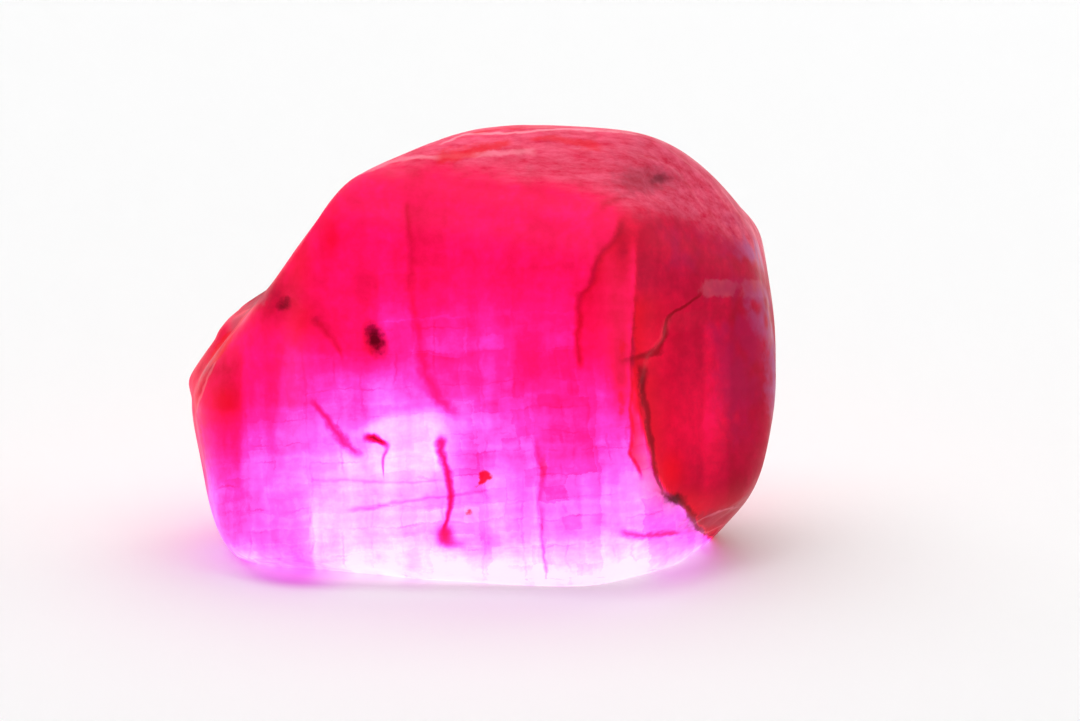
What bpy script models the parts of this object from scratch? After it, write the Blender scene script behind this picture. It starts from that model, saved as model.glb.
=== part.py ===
"""A raw ruby crystal: one loose, water-worn stone of corundum, 20 mm across, lying on its flat side.

The stone grew as one piece, so it is one solid. Its form is a blunt block of natural faces
with worn edges. Shell-shaped chips, worn ledges, a sunken slab and a few pits are then sunk
into that block. The resting side is ground off flat by nature.

Places on the stone are given in millimetres from its heart, a point inside it, along three
directions: across (to the right), up (along the broad side, which leans back) and out
(straight out of the broad side, towards the front).

Frame: +X to the right, +Y to the back, +Z up. The origin is under the middle of the stone,
on the surface that it rests on.
"""

import math

import bmesh
import bpy
import numpy as np

MM = 0.001

# The stone as a whole.
LEAN = math.radians(14.5)  # how far the broad side leans back from upright
HEART = (0.07, 0.225, 6.6)  # the heart above the middle of the resting side, mm
CUTS = 89  # cuts along each side of the ball of squares that the stone is shaped from
TRIANGLES = 10400  # what the whole ball is thinned to, most of them kept at edges and ledges
EDGE_POWER = 40  # higher is sharper: the edges are worn round by about 0.4 mm
SHARP_ANGLE = math.radians(40)  # edges that turn by more than this are shaded sharp
SLIVER = 0.02  # triangles thinner than this along the cut are merged, mm

# The natural faces: clock (degrees round the broad side, 0 is right and 90 is up), turn
# (degrees towards the front, or minus towards the back) and distance from the heart, mm.
FACES = {
    "right_upper": (9, 6, 9.80),
    "right_lower": (-14, -2, 10.07),
    "right_corner": (-45, 6, 10.0),
    "base": (-90, -14.5, 6.95),
    "left_foot": (263, 8, 8.35),
    "left_heel": (221, 4, 11.1),
    "left": (189, 7, 10.02),
    "left_shoulder": (143, 2, 7.12),
    "shoulder": (116, 1, 7.12),
    "crown_left": (102, 6, 7.65),
    "crown_top": (89, 4, 7.73),
    "crown_right": (76, 3, 8.6),
    "top_right": (62, 2, 9.35),
    "top_corner": (47, 2, 9.75),
    "right_shoulder": (31, 6, 10.13),
    "front": (196, 83, 5.9),
    "front_right": (3, 44, 8.3),
    "front_shoulder": (33, 33, 8.95),
    "crown_front": (60, 42, 8.65),
    "front_top": (87, 44.5, 7.65),
    "right_bevel": (0, 70, 7.72),
    "top_bevel": (97, 68, 7.2),
    "front_left": (182, 56, 7.9),
    "left_edge": (166, 30, 9.1),
    "front_corner": (-56, 28, 9.75),
    "front_foot": (-92, 50, 8.5),
    "back": (20, -76, 5.9),
    "back_left": (156, -46, 6.9),
    "back_right": (-12, -36, 9.0),
    "back_top": (78, -44, 7.0),
    "back_foot": (-100, -50, 7.0),
    "back_corner": (-150, -40, 8.7),
    "back_slant": (-60, -60, 6.6),
}

# Shell-shaped chips: across, up and out of the middle, radius and depth, mm.
CHIPS = {
    "shoulder_front": (-6.9, 3.2, 0.8, 2.6, 0.30),
    "shoulder_top": (-2.6, 7.0, -0.3, 2.2, 0.22),
    "shoulder_back": (-6.5, 3.5, -3.4, 3.0, 0.50),
    "right_foot": (9.0, -5.2, -2.5, 2.6, 0.25),
    "back_crown": (4.5, 5.8, -4.6, 3.6, 0.55),
    "back_middle": (-3.5, 0.5, -6.6, 3.8, 0.50),
    "back_right": (5.5, -3.0, -6.2, 3.2, 0.45),
    "back_foot": (1.5, -5.5, -5.5, 2.5, 0.35),
}

# Knobs left standing beside the chips, given in the same way, with their height.
KNOBS = {
    "left_knob": (-8.8, 0.3, -0.9, 2.5, 0.42),
    "left_bead": (-8.2, 1.2, 0.6, 1.1, 0.10),
}

# Pits on the front: across and up, radius and depth, mm.
PITS = {
    "crown_pit": (5.8, 5.5, 0.80, 0.18),
    "shoulder_pit": (-6.5, 1.45, 0.55, 0.10),
}

# Worn ledges over the crown: out, where each one steps down towards the back, and its drop, mm.
LEDGES = ((4.3, 0.07), (3.3, 0.05), (2.5, 0.09), (1.2, 0.06), (0.2, 0.08), (-1.4, 0.09), (-2.6, 0.06))
LEDGE_WIDTH = 0.26  # how wide the worn step of a ledge is, mm
LEDGE_REST = 1.6  # a ledge rises again over this distance, mm
LEDGE_FADE = 0.6  # the share of its drop that a ledge wins back

# The rift: a crack down the right of the front, beside which the stone is a little sunken.
# Its points are (up, across), mm.
RIFT = (
    (-6.4, 7.6),
    (-5.7, 7.0),
    (-4.7, 6.1),
    (-3.2, 5.55),
    (-1.3, 5.25),
    (-0.3, 5.5),
    (0.3, 6.0),
    (0.9, 6.1),
    (1.5, 6.9),
)
RIFT_DEPTH = 0.18
RIFT_WIDTH = 0.40
RIFT_REACH = 1.5  # the sunken side comes back to the face over about this distance, mm

# Broad lumps from wear: wave length and height, mm.
LUMPS = ((7.0, 0.10), (3.0, 0.05))
RIM_WANDER = (2.6, 0.55)  # wave length and reach of the wandering rims of the chips, mm
PIT_WANDER = (1.6, 0.40)  # the same for the rims of the pits
KNOB_SIDE = 1.3  # how steep the sides of the knobs are

ACROSS = np.array([1.0, 0.0, 0.0])
UP = np.array([0.0, math.sin(LEAN), math.cos(LEAN)])
OUT = np.array([0.0, -math.cos(LEAN), math.sin(LEAN)])


def smooth(x):
    """0 below 0 and 1 above 1, with a smooth rise between."""
    x = np.clip(x, 0.0, 1.0)
    return x * x * (3.0 - 2.0 * x)


def waves(places, length, seed, count=7):
    """Gentle lumps from -1 to 1: a few sine waves that run in directions spread round a ball."""
    total = np.zeros(len(places))
    for k in range(count):
        turn = 2.399963 * (k + 1 + seed)
        rise = 1.0 - 2.0 * ((k * 0.618034 + seed * 0.37) % 1.0)
        flat = math.sqrt(1.0 - rise * rise)
        pace = (1.0 + 0.35 * math.sin(3.1 * k + seed)) / length
        along = np.array([flat * math.cos(turn), flat * math.sin(turn), rise]) * pace
        total += np.sin(2.0 * math.pi * (places @ along) + 1.7 * k + seed)
    return total / count


def wander(places, length, reach):
    """The places moved about by gentle waves, so that what is round there gets a wandering rim."""
    moves = [waves(places, length, seed) for seed in (11, 17, 23)]
    return places + reach * np.stack(moves, axis=1)


def block_radius(directions):
    """How far the block of natural faces reaches in each direction: a soft least of the faces' reaches."""
    reach = np.zeros(len(directions))
    for clock, turn, distance in FACES.values():
        clock, turn = math.radians(clock), math.radians(turn)
        normal = math.cos(turn) * (math.cos(clock) * ACROSS + math.sin(clock) * UP) + math.sin(turn) * OUT
        reach += np.maximum(directions @ normal / distance, 0.0) ** EDGE_POWER
    return reach ** (-1.0 / EDGE_POWER)


def chip_depth(places):
    """How deep the chips are, as bowls with a rim, less the knobs, as mounds with flat tops."""
    depth = np.zeros(len(places))
    for *middle, radius, sink in CHIPS.values():
        inside = 1.0 - np.sum((places - middle) ** 2, axis=1) / radius**2
        depth += sink * np.maximum(inside, 0.0)
    for *middle, radius, height in KNOBS.values():
        inside = 1.0 - np.sum((places - middle) ** 2, axis=1) / radius**2
        depth -= height * smooth(KNOB_SIDE * inside)
    return depth


def ledge_depth(places):
    """How deep the worn ledges lie: each one drops at its edge and rises again behind it."""
    across, up, out = places.T
    on_crown = smooth((up - 3.2 - 0.05 * across) / 1.6) * smooth((out + 4.5) / 2.0)
    wavy = out + 0.16 * across + 0.5 * waves(places * (1.0, 1.0, 0.3), 6.0, 9)
    wavy += 0.25 * waves(places, 1.7, 13)
    depth = np.zeros(len(places))
    for edge, drop in LEDGES:
        step = smooth((edge - wavy) / LEDGE_WIDTH)
        rise = smooth((edge - wavy + 0.3) / LEDGE_REST)
        depth += on_crown * drop * (step - LEDGE_FADE * rise)
    return depth


def front_share(places):
    """1 on the front of the stone and 0 on its back."""
    return smooth((places[:, 2] - 0.5) / 1.5)


def rift_depth(places):
    """How deep the side of the rift lies: deepest at the crack, fading to the right and at its ends."""
    across, up, _ = places.T
    crack_up, crack_across = np.array(RIFT).T
    beyond = across - np.interp(up, crack_up, crack_across)
    step = smooth(beyond / RIFT_WIDTH + 0.5)
    fade = np.exp(-((np.maximum(beyond, 0.0) / RIFT_REACH) ** 2))
    ends = smooth((1.3 - up) / 0.9) * smooth((up + 6.6) / 0.8)
    return RIFT_DEPTH * step * fade * ends * front_share(places)


def pit_depth(places):
    """How deep the small pits on the front are."""
    across, up, _ = places.T
    depth = np.zeros(len(places))
    for pit_across, pit_up, radius, sink in PITS.values():
        inside = 1.0 - ((across - pit_across) ** 2 + (up - pit_up) ** 2) / radius**2
        depth += sink * smooth(inside) * front_share(places)
    return depth


def stone_surface(directions):
    """The stone's surface in each direction from its heart, mm."""
    radius = block_radius(directions)
    places = (directions * radius[:, None]) @ np.stack([ACROSS, UP, OUT], axis=1)
    depth = chip_depth(wander(places, *RIM_WANDER)) + pit_depth(wander(places, *PIT_WANDER))
    depth += ledge_depth(places) + rift_depth(places)
    for seed, (length, height) in zip((1, 4), LUMPS):
        depth -= height * waves(places, length, seed)
    return directions * (radius - depth)[:, None]


def ball_of_squares():
    """A closed cube whose sides are cut into even squares, to be blown up into the stone."""
    bm = bmesh.new()
    bmesh.ops.create_cube(bm, size=2.0)
    bmesh.ops.subdivide_edges(bm, edges=bm.edges[:], cuts=CUTS, use_grid_fill=True)
    return bm


def shape_stone(bm):
    """Moves each corner of the ball of squares out to the stone's surface."""
    corners = np.array([vert.co[:] for vert in bm.verts])
    spread = np.tan(corners * math.pi / 4.0)
    directions = spread / np.linalg.norm(spread, axis=1)[:, None]
    for vert, place in zip(bm.verts, stone_surface(directions) + np.array(HEART)):
        vert.co = place * MM


def thin_out(stone):
    """Merges the triangles of the flat places, so that the edges and ledges keep theirs."""
    stone.data.calc_loop_triangles()
    decimate = stone.modifiers.new("thin_out", "DECIMATE")
    decimate.ratio = TRIANGLES / len(stone.data.loop_triangles)
    decimate.use_collapse_triangulate = True
    thinned = stone.evaluated_get(bpy.context.evaluated_depsgraph_get())
    stone.data = bpy.data.meshes.new_from_object(thinned)
    stone.modifiers.remove(decimate)


def cut_resting_side(bm):
    """Cuts the stone off flat where it rests, and closes the cut with one flat face."""
    everything = bm.verts[:] + bm.edges[:] + bm.faces[:]
    cut = bmesh.ops.bisect_plane(
        bm, geom=everything, dist=1e-7, plane_co=(0, 0, 0), plane_no=(0, 0, 1), clear_inner=True
    )
    rim = [item for item in cut["geom_cut"] if isinstance(item, bmesh.types.BMEdge)]
    bmesh.ops.edgenet_fill(bm, edges=rim)
    bmesh.ops.dissolve_degenerate(bm, edges=bm.edges[:], dist=SLIVER * MM)
    bmesh.ops.recalc_face_normals(bm, faces=bm.faces[:])


def ruby_material():
    """Rough ruby: deep pinkish red, worn satin, letting some light through."""
    material = bpy.data.materials.new("ruby")
    material.use_nodes = True
    shader = material.node_tree.nodes["Principled BSDF"]
    shader.inputs["Base Color"].default_value = (0.84, 0.015, 0.13, 1.0)
    shader.inputs["Roughness"].default_value = 0.35
    shader.inputs["Metallic"].default_value = 0.0
    shader.inputs["IOR"].default_value = 1.77
    shader.inputs["Transmission Weight"].default_value = 0.3
    return material


def build_ruby_crystal():
    """The whole stone, in its place."""
    bm = ball_of_squares()
    shape_stone(bm)
    mesh = bpy.data.meshes.new("ruby_crystal")
    bm.to_mesh(mesh)
    stone = bpy.data.objects.new("ruby_crystal", mesh)
    bpy.context.scene.collection.objects.link(stone)
    thin_out(stone)
    bm.clear()
    bm.from_mesh(stone.data)
    cut_resting_side(bm)
    bm.to_mesh(stone.data)
    bm.free()
    stone.data.shade_smooth()
    stone.data.set_sharp_from_angle(angle=SHARP_ANGLE)
    stone.data.materials.append(ruby_material())
    return stone


for leftover in list(bpy.data.objects):
    bpy.data.objects.remove(leftover)
build_ruby_crystal()
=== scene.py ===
"""The finished surface of a raw ruby crystal, 20 mm across, on a pale studio floor.

The stone is one mesh that stands for the frame's one solid. Its form is a block of worn
natural faces, into which chips, ledges, a sunken slab and pits are cut. The light that
passes through the stone is part of its look, and it is painted light: a painted glow, put
into the stone's colour and given off by emission, with no lamp behind it. It is brightest at
the foot, where it is nearly white, and turns over lilac, magenta and hot pink to a deep
crimson at the crown and on the right. Cracks, veils, stains and a grid of parting planes lie
in that painted light.

Places on the stone are given in millimetres from its heart, a point inside it, along three
directions: across (to the right), up (along the broad side, which leans back) and out
(straight out of the broad side, towards the front).
"""

import logging
import math
from dataclasses import dataclass, field
from enum import Enum

import bpy
import numpy as np
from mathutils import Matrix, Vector


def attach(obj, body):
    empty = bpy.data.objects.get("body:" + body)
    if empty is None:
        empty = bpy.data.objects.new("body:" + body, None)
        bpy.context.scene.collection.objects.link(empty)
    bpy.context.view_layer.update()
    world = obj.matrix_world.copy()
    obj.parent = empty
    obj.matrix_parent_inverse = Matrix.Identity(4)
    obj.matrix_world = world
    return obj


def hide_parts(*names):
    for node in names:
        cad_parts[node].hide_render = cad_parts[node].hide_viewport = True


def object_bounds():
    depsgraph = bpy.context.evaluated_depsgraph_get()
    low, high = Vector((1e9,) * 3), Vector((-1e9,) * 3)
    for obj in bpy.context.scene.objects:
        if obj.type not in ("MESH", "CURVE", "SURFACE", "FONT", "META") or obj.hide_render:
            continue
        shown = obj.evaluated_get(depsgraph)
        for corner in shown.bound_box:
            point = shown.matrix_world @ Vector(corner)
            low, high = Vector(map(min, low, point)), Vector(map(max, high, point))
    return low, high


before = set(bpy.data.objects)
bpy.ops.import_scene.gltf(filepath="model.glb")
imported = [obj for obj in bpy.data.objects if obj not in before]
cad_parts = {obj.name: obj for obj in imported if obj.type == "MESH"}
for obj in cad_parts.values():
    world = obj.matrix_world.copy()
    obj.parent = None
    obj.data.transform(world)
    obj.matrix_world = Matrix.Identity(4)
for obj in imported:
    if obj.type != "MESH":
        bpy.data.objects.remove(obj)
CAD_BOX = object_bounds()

log = logging.getLogger("ruby")

MM = 0.001
LEAN = math.radians(14.5)  # how far the broad side leans back from upright
HEART = np.array([0.07, 0.225, 6.6])  # the heart above the middle of the resting side, mm
ACROSS = np.array([1.0, 0.0, 0.0])
UP = np.array([0.0, math.sin(LEAN), math.cos(LEAN)])
OUT = np.array([0.0, -math.cos(LEAN), math.sin(LEAN)])


def smooth(x: np.ndarray) -> np.ndarray:
    """0 below 0 and 1 above 1, with a smooth rise between.

    Args:
        x: Any numbers.

    Returns:
        The numbers after the rise.
    """
    x = np.clip(x, 0.0, 1.0)
    return x * x * (3.0 - 2.0 * x)


def waves(places: np.ndarray, length: float, seed: int, count: int = 7) -> np.ndarray:
    """Gentle lumps: the mean of a few sine waves that run in directions spread round a ball.

    Args:
        places: Places in mm, one a row.
        length: The wave length, mm.
        seed: Turns the directions, for another set of lumps.
        count: How many waves.

    Returns:
        The height of the lumps at each place, from -1 to 1.
    """
    k = np.arange(count)
    turn = 2.399963 * (k + 1 + seed)
    rise = 1.0 - 2.0 * ((k * 0.618034 + seed * 0.37) % 1.0)
    flat = np.sqrt(1.0 - rise * rise)
    pace = (1.0 + 0.35 * np.sin(3.1 * k + seed)) / length
    along = np.stack([flat * np.cos(turn), flat * np.sin(turn), rise]) * pace
    return np.sin(2.0 * math.pi * (places @ along) + 1.7 * k + seed).mean(axis=1)


def wander(places: np.ndarray, length: float, reach: float) -> np.ndarray:
    """Moves places about by gentle waves, so that what is round there gets a wandering rim.

    Args:
        places: Places in mm, one a row.
        length: The wave length, mm.
        reach: How far the waves move a place, mm.

    Returns:
        The moved places.
    """
    moves = [waves(places, length, seed) for seed in (11, 17, 23)]
    return places + reach * np.stack(moves, axis=1)


def broken(places: np.ndarray) -> np.ndarray:
    """Moves places by two sizes of waves, so that lines there get a broken course."""
    return wander(wander(places, 1.4, 0.08), 0.55, 0.05)


@dataclass(frozen=True)
class NaturalFace:
    """One flat natural face of the stone.

    Attributes:
        clock: Degrees round the broad side: 0 is right and 90 is up.
        turn: Degrees towards the front, or minus towards the back.
        distance: How far the face lies from the heart, mm.
    """

    clock: float
    turn: float
    distance: float

    def normal(self) -> np.ndarray:
        """Which way the face looks.

        Returns:
            Its outward normal, in the stone's frame.
        """
        clock, turn = math.radians(self.clock), math.radians(self.turn)
        side = math.cos(clock) * ACROSS + math.sin(clock) * UP
        return math.cos(turn) * side + math.sin(turn) * OUT


@dataclass(frozen=True)
class Dent:
    """A round place that is lower, or higher, than what is round it.

    Attributes:
        middle: Its middle across, up and out, mm.
        radius: How far it reaches, mm.
        depth: How deep it is, mm.
    """

    middle: tuple[float, float, float]
    radius: float
    depth: float

    def inside(self, places: np.ndarray) -> np.ndarray:
        """1 at the middle, falling by the square of the distance to 0 at the rim and below."""
        return 1.0 - np.sum((places - self.middle) ** 2, axis=1) / self.radius**2


FACES = {
    "right_upper": NaturalFace(9, 6, 9.80),
    "right_lower": NaturalFace(-14, -2, 10.07),
    "right_corner": NaturalFace(-45, 6, 10.0),
    "base": NaturalFace(-90, -14.5, 6.95),
    "left_foot": NaturalFace(263, 8, 8.35),
    "left_heel": NaturalFace(221, 4, 11.1),
    "left": NaturalFace(189, 7, 10.02),
    "left_shoulder": NaturalFace(143, 2, 7.12),
    "shoulder": NaturalFace(116, 1, 7.12),
    "crown_left": NaturalFace(102, 6, 7.65),
    "crown_top": NaturalFace(89, 4, 7.73),
    "crown_right": NaturalFace(76, 3, 8.6),
    "top_right": NaturalFace(62, 2, 9.35),
    "top_corner": NaturalFace(47, 2, 9.75),
    "right_shoulder": NaturalFace(31, 6, 10.13),
    "front": NaturalFace(196, 83, 5.9),
    "front_right": NaturalFace(3, 44, 8.3),
    "front_shoulder": NaturalFace(33, 33, 8.95),
    "crown_front": NaturalFace(60, 42, 8.65),
    "front_top": NaturalFace(87, 44.5, 7.65),
    "right_bevel": NaturalFace(0, 70, 7.72),
    "top_bevel": NaturalFace(97, 68, 7.2),
    "front_left": NaturalFace(182, 56, 7.9),
    "left_edge": NaturalFace(166, 30, 9.1),
    "front_corner": NaturalFace(-56, 28, 9.75),
    "front_foot": NaturalFace(-92, 50, 8.5),
    "back": NaturalFace(20, -76, 5.9),
    "back_left": NaturalFace(156, -46, 6.9),
    "back_right": NaturalFace(-12, -36, 9.0),
    "back_top": NaturalFace(78, -44, 7.0),
    "back_foot": NaturalFace(-100, -50, 7.0),
    "back_corner": NaturalFace(-150, -40, 8.7),
    "back_slant": NaturalFace(-60, -60, 6.6),
}

CHIPS = (
    Dent((-6.9, 3.2, 0.8), 2.6, 0.30),
    Dent((-2.6, 7.0, -0.3), 2.2, 0.22),
    Dent((-6.5, 3.5, -3.4), 3.0, 0.50),
    Dent((9.0, -5.2, -2.5), 2.6, 0.25),
    Dent((4.5, 5.8, -4.6), 3.6, 0.55),
    Dent((-3.5, 0.5, -6.6), 3.8, 0.50),
    Dent((5.5, -3.0, -6.2), 3.2, 0.45),
    Dent((1.5, -5.5, -5.5), 2.5, 0.35),
)
KNOBS = (
    Dent((-8.8, 0.3, -0.9), 2.5, 0.42),
    Dent((-8.2, 1.2, 0.6), 1.1, 0.10),
)
PITS = (
    Dent((5.8, 5.5, 0.0), 0.80, 0.18),
    Dent((-6.5, 1.45, 0.0), 0.55, 0.10),
)

Line = tuple[tuple[float, float], ...]


@dataclass(frozen=True)
class StoneForm:
    """The stone's shape: how far its surface lies from the heart in each direction.

    The block of faces is the soft least of the faces' reaches: each face reaches its
    distance divided by the cosine to its normal, and the reaches are joined by a power mean,
    which rounds the edges. Chips, knobs, pits, ledges, the sunken slab and lumps are then
    taken off along the direction.

    Attributes:
        edge_power: The power of the mean: the higher it is, the sharper the edges are.
        chip_rim, pit_rim: The wave length and the reach of the rims' wandering, mm.
        knob_side: How steep the knobs' sides are: at more than 1 their tops are flat.
        ledges: Each ledge's place towards the front and its drop, mm.
        ledge_start, ledge_onset: How far up the ledges begin, and how far they take to, mm.
        ledge_width: How wide a ledge's edge is, mm.
        ledge_rest: How far behind its edge a ledge has risen, mm.
        ledge_fade: The share of its drop that a ledge gets back by rising.
        rift: The edge of the slab as (up, across), mm.
        rift_depth, rift_width: How deep the slab lies at its edge, and how wide the edge is, mm.
        rift_reach: How far to the right the slab has risen to the face, mm.
        lumps: The wave length, the height and the seed of each size of lumps, mm.
    """

    edge_power: float = 40.0
    chip_rim: tuple[float, float] = (2.6, 0.55)
    pit_rim: tuple[float, float] = (1.6, 0.40)
    knob_side: float = 1.3
    ledges: tuple[tuple[float, float], ...] = (
        (4.3, 0.07), (3.3, 0.05), (2.5, 0.09), (1.2, 0.06), (0.2, 0.08), (-1.4, 0.09), (-2.6, 0.06)
    )
    ledge_start: float = 3.2
    ledge_onset: float = 1.6
    ledge_width: float = 0.26
    ledge_rest: float = 1.6
    ledge_fade: float = 0.6
    rift: Line = (
        (-6.4, 7.6), (-5.7, 7.0), (-4.7, 6.1), (-3.2, 5.55), (-1.3, 5.25), (-0.3, 5.5),
        (0.3, 6.0), (0.9, 6.1), (1.5, 6.9),
    )
    rift_depth: float = 0.18
    rift_width: float = 0.40
    rift_reach: float = 1.5
    lumps: tuple[tuple[float, float, int], ...] = ((7.0, 0.10, 1), (3.0, 0.05, 4))

    def reaches(self, directions: np.ndarray) -> np.ndarray:
        """The share of each face in each direction, to the edge power, one column a face."""
        normals = np.array([face.normal() / face.distance for face in FACES.values()])
        return np.maximum(directions @ normals.T, 0.0) ** self.edge_power

    def chips(self, places: np.ndarray) -> np.ndarray:
        """The chips and the knobs.

        Args:
            places: Places across, up and out, mm, one a row.

        Returns:
            The depth of the chips, as bowls with a rim, less the knobs, as mounds with flat tops.
        """
        wandered = wander(places, *self.chip_rim)
        depth = np.zeros(len(places))
        for chip in CHIPS:
            depth += chip.depth * np.maximum(chip.inside(wandered), 0.0)
        for knob in KNOBS:
            depth -= knob.depth * smooth(self.knob_side * knob.inside(wandered))
        return depth

    def pits(self, places: np.ndarray) -> np.ndarray:
        """The pits on the front.

        Args:
            places: Places across, up and out, mm, one a row.

        Returns:
            Their depth, mm.
        """
        wandered = wander(places, *self.pit_rim)
        wandered[:, 2] = 0.0
        depth = np.zeros(len(places))
        for pit in PITS:
            depth += pit.depth * smooth(pit.inside(wandered))
        return depth * self.front_share(places)

    def front_share(self, places: np.ndarray) -> np.ndarray:
        """1 on the front of the stone and 0 on its back."""
        return smooth((places[:, 2] - 0.5) / 1.5)

    def terraces(self, places: np.ndarray) -> np.ndarray:
        """The worn ledges over the crown: each drops at its edge and rises behind it.

        Args:
            places: Places across, up and out, mm, one a row.

        Returns:
            Their depth, mm.
        """
        across, up, out = places.T
        above = up - self.ledge_start - 0.05 * across
        on_crown = smooth(above / self.ledge_onset) * smooth((out + 4.5) / 2.0)
        # The edges run a little askew, and bend in long and in short waves.
        wavy = out + 0.16 * across + 0.5 * waves(places * (1.0, 1.0, 0.3), 6.0, 9)
        wavy += 0.25 * waves(places, 1.7, 13)
        depth = np.zeros(len(places))
        for edge, drop in self.ledges:
            step = smooth((edge - wavy) / self.ledge_width)
            rise = smooth((edge - wavy + 0.3) / self.ledge_rest)
            depth += on_crown * drop * (step - self.ledge_fade * rise)
        return depth

    def slab(self, places: np.ndarray) -> np.ndarray:
        """The sunken slab to the right of the rift.

        Args:
            places: Places across, up and out, mm, one a row.

        Returns:
            Its depth, mm.
        """
        up = places[:, 1]
        line_up, line_across = np.array(self.rift).T
        beyond = places[:, 0] - np.interp(up, line_up, line_across)
        step = smooth(beyond / self.rift_width + 0.5)
        fade = np.exp(-((np.maximum(beyond, 0.0) / self.rift_reach) ** 2))
        ends = smooth((1.3 - up) / 0.9) * smooth((up + 6.6) / 0.8)
        return self.rift_depth * step * fade * ends * self.front_share(places)

    def places(self, directions: np.ndarray) -> np.ndarray:
        """The surface in each direction.

        Args:
            directions: Unit directions from the heart, in the stone's frame.

        Returns:
            The places on the surface from the heart, in the stone's frame, mm.
        """
        radius = self.reaches(directions).sum(axis=1) ** (-1.0 / self.edge_power)
        rough = to_broad_side(directions * radius[:, None])
        depth = self.chips(rough) + self.pits(rough) + self.terraces(rough) + self.slab(rough)
        for length, height, seed in self.lumps:
            depth -= height * waves(rough, length, seed)
        radius = radius - depth
        # Nothing reaches below the resting side.
        drop = np.maximum(-directions[:, 2], 1e-6)
        radius = np.minimum(radius, HEART[2] / drop)
        return directions * radius[:, None]

    def wear(self, directions: np.ndarray) -> np.ndarray:
        """How near each direction is to an edge between two faces.

        Args:
            directions: Unit directions from the heart, in the stone's frame.

        Returns:
            0 on a face and 1 on an edge.
        """
        reaches = self.reaches(directions)
        share = reaches.max(axis=1) / reaches.sum(axis=1)
        return smooth((1.0 - share) / 0.5)


def to_broad_side(places: np.ndarray) -> np.ndarray:
    """Turns places in the stone's frame into across, up and out."""
    return places @ np.stack([ACROSS, UP, OUT], axis=1)


def cube_sphere(cuts: int) -> tuple[np.ndarray, np.ndarray]:
    """A cube whose six sides are even grids, blown up to a ball.

    Two numbers that run over one side give the point (1, tan a, tan b) and its like, which is
    then made one unit long. Points that two sides share are one.

    Args:
        cuts: How many squares each side has along its edge.

    Returns:
        The unit directions, and the four corners of each square.
    """
    steps = np.arange(cuts + 1)
    a, b = np.meshgrid(steps, steps, indexing="ij")
    low, high = np.zeros_like(a), np.full_like(a, cuts)
    sides = np.array([(high, a, b), (low, b, a), (b, high, a), (a, low, b), (a, b, high), (b, a, low)])
    lattice = sides.transpose(0, 2, 3, 1)
    keys = (lattice * (cuts + 1) ** np.arange(3)).sum(axis=-1)
    _, first, shared = np.unique(keys, return_index=True, return_inverse=True)
    shared = shared.reshape(keys.shape)
    corners = lattice.reshape(-1, 3)[first]
    spread = np.tan((corners / cuts * 2.0 - 1.0) * math.pi / 4.0)
    directions = spread / np.linalg.norm(spread, axis=1)[:, None]
    ring = (shared[:, :-1, :-1], shared[:, 1:, :-1], shared[:, 1:, 1:], shared[:, :-1, 1:])
    return directions, np.stack(ring, axis=-1).reshape(-1, 4)


@dataclass(frozen=True)
class Glow:
    """A patch where more, or less, painted light comes through the stone.

    Attributes:
        across, up: Its middle on the broad side, mm.
        wide, tall: How far it reaches, mm.
        gain: How much it adds to the level of light.
    """

    across: float
    up: float
    wide: float
    tall: float
    gain: float

    def light(self, places: np.ndarray) -> np.ndarray:
        """A round hill whose height falls off as a bell curve.

        Args:
            places: Places across, up and out, mm, one a row.

        Returns:
            The level that the patch adds at each place.
        """
        across = (places[:, 0] - self.across) / self.wide
        up = (places[:, 1] - self.up) / self.tall
        return self.gain * np.exp(-(across**2 + up**2))


class Run(Enum):
    """Which way a line on the broad side runs: the columns of a place along it and away from it."""

    DOWN = (1, 0)  # its points are (up, across), with up growing
    ALONG = (0, 1)  # its points are (across, up), with across growing


@dataclass(frozen=True)
class Trace:
    """A line on the broad side.

    Attributes:
        points: Its points, mm, in the order that its run gives.
        run: Which way it runs.
    """

    points: Line
    run: Run = Run.DOWN

    def beside(self, places: np.ndarray) -> np.ndarray:
        """How far each place lies to the right of the line or above it, mm, and minus past it.

        Args:
            places: Places across, up and out, mm, one a row.

        Returns:
            The distance straight across the run, made shorter where the line slants.
        """
        along, away = (places[:, column] for column in self.run.value)
        line_along, line_away = np.array(self.points).T
        slant = np.interp(along, line_along, np.gradient(line_away, line_along))
        return (away - np.interp(along, line_along, line_away)) / np.sqrt(1.0 + slant**2)

    def share(self, places: np.ndarray) -> np.ndarray:
        """How far along the run each place is: 0 at the first point and 1 at the last."""
        first, last = self.points[0][0], self.points[-1][0]
        return np.clip((places[:, self.run.value[0]] - first) / (last - first), 0.0, 1.0)

    def span(self, places: np.ndarray, fade: float = 0.4) -> np.ndarray:
        """Where the line runs.

        Args:
            places: Places across, up and out, mm, one a row.
            fade: How far the change takes, mm.

        Returns:
            1 between its ends and 0 past them.
        """
        along = places[:, self.run.value[0]]
        first, last = self.points[0][0], self.points[-1][0]
        return smooth((along - first) / fade + 0.5) * smooth((last - along) / fade + 0.5)


@dataclass(frozen=True)
class Flank:
    """A change beside a line: strongest next to it, falling off away from it.

    Attributes:
        trace: The line.
        gain: How much it adds next to the line.
        reach: How far it goes, mm: to the right or up, and with a minus to the left or down.
        soft: How far it takes to set in at the line, mm.
    """

    trace: Trace
    gain: float
    reach: float
    soft: float = 0.18

    def light(self, places: np.ndarray) -> np.ndarray:
        """The change.

        Args:
            places: Places across, up and out, mm, one a row.

        Returns:
            What it adds at each place.
        """
        side = self.trace.beside(places) * math.copysign(1.0, self.reach)
        fall = np.exp(-np.maximum(side, 0.0) / abs(self.reach))
        return self.gain * smooth(side / self.soft + 0.5) * fall * self.trace.span(places, 1.2)


class CrackKind(Enum):
    """What a crack looks like from outside."""

    OPEN = "open"  # reaches the surface; its gap is painted dark, as painted shade
    VEIL = "veil"  # lies inside, a thin curtain that holds back light
    CREASE = "crease"  # a worn line, drawn pale as a painted highlight along it
    STREAK = "streak"  # an orange-red streak in the frosted skin
    SCUFF = "scuff"  # a greyish pink strip worn along an edge


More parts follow.
